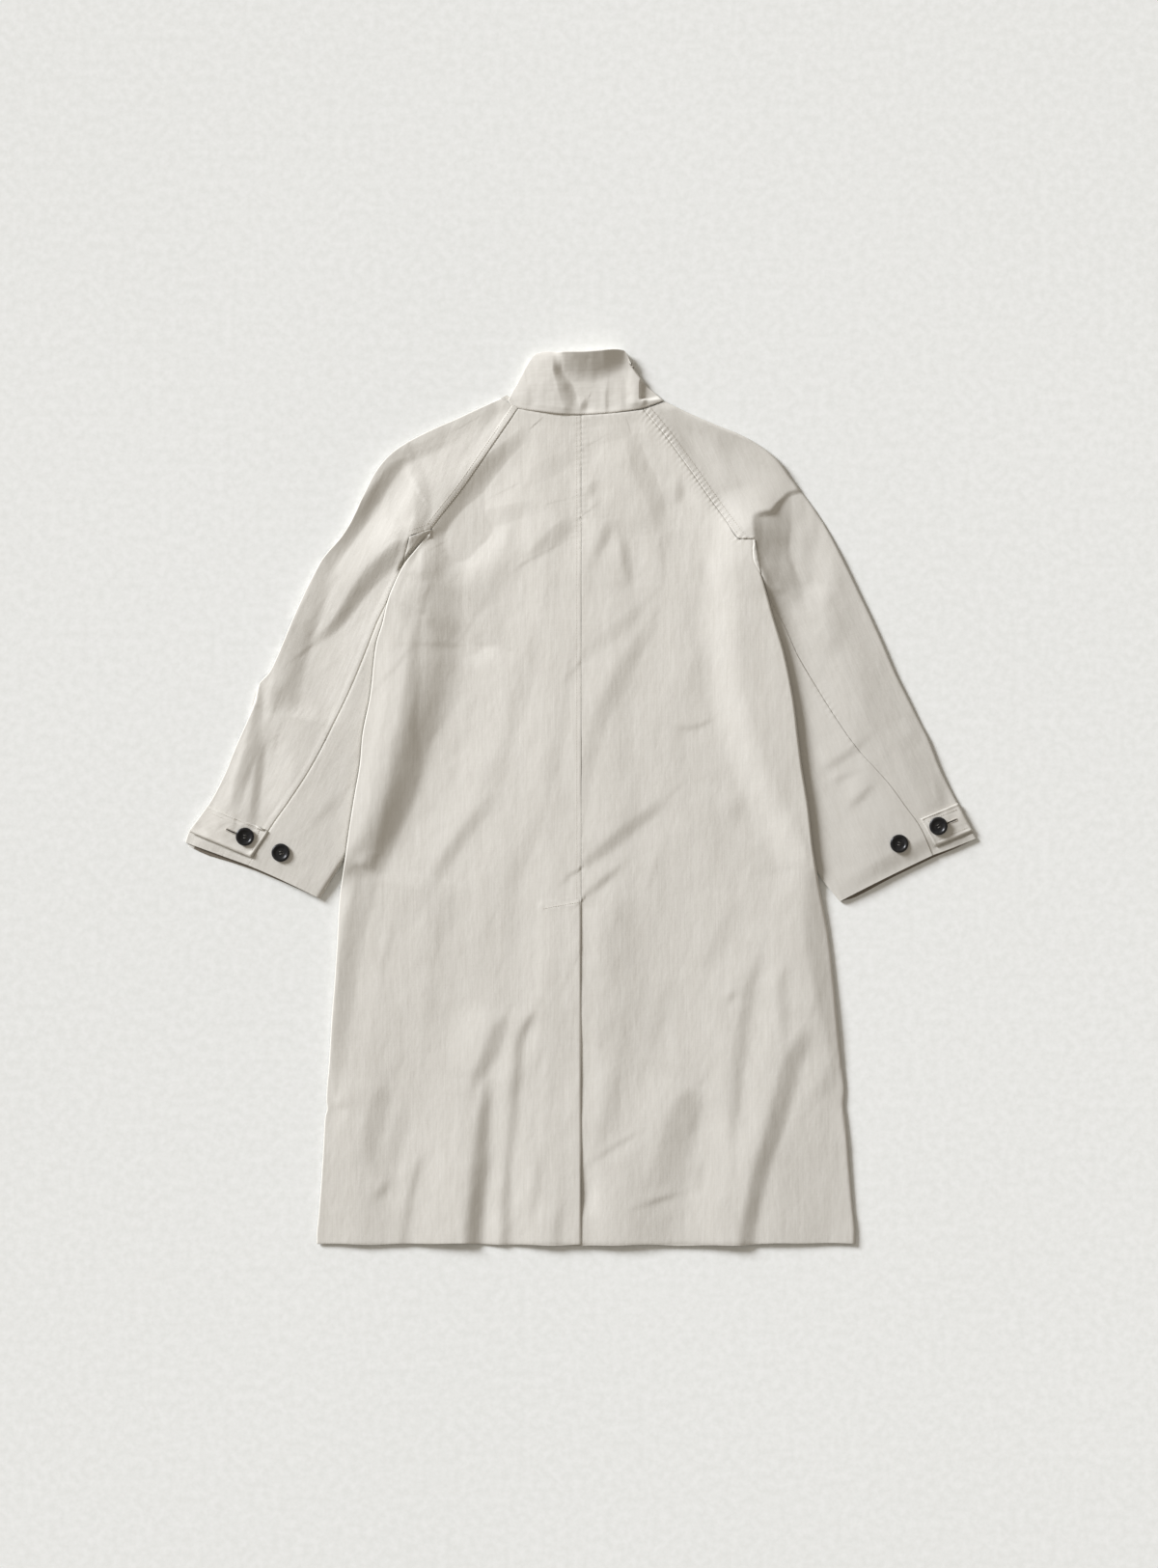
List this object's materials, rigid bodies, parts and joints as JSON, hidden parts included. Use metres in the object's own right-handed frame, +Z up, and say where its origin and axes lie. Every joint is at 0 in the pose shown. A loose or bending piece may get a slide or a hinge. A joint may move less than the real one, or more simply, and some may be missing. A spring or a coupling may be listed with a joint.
{
  "type": "balmacaan coat, laid flat with its back up",
  "caption": "Cotton balmacaan coat lying flat, back up: raglan sleeves, raised collar, centre-back vent and buttoned cuff straps.",
  "frame": {"origin": "centre of the laid coat's footprint, on the surface it lies on", "axes": "+Y towards the collar along the coat's length, +X across it to the wearer's right, +Z up out of the back"},
  "size_m": [1.05, 1.187, 0.0128],
  "materials": {
    "body_cloth": "crisp stone-coloured cotton with faint vertical slubs and a slight sheen",
    "sleeve_cloth": "the same cotton, its grain along the sleeve",
    "collar_cloth": "the same cotton over interlining",
    "strap_cloth": "the same cotton, two plies, topstitched",
    "button": "black, half gloss, with a raised rim"
  },
  "bodies": {
    "root": {"back_left": "body_cloth", "back_right": "body_cloth", "front_left": "body_cloth", "front_right": "body_cloth", "sleeve_left_back": "sleeve_cloth", "sleeve_left_front": "sleeve_cloth", "sleeve_right_back": "sleeve_cloth", "sleeve_right_front": "sleeve_cloth", "collar": "collar_cloth", "cuff_strap_left": "strap_cloth", "cuff_strap_right": "strap_cloth", "button_left_strap": "button", "button_left_sleeve": "button", "button_right_strap": "button", "button_right_sleeve": "button"}
  },
  "joints": []
}
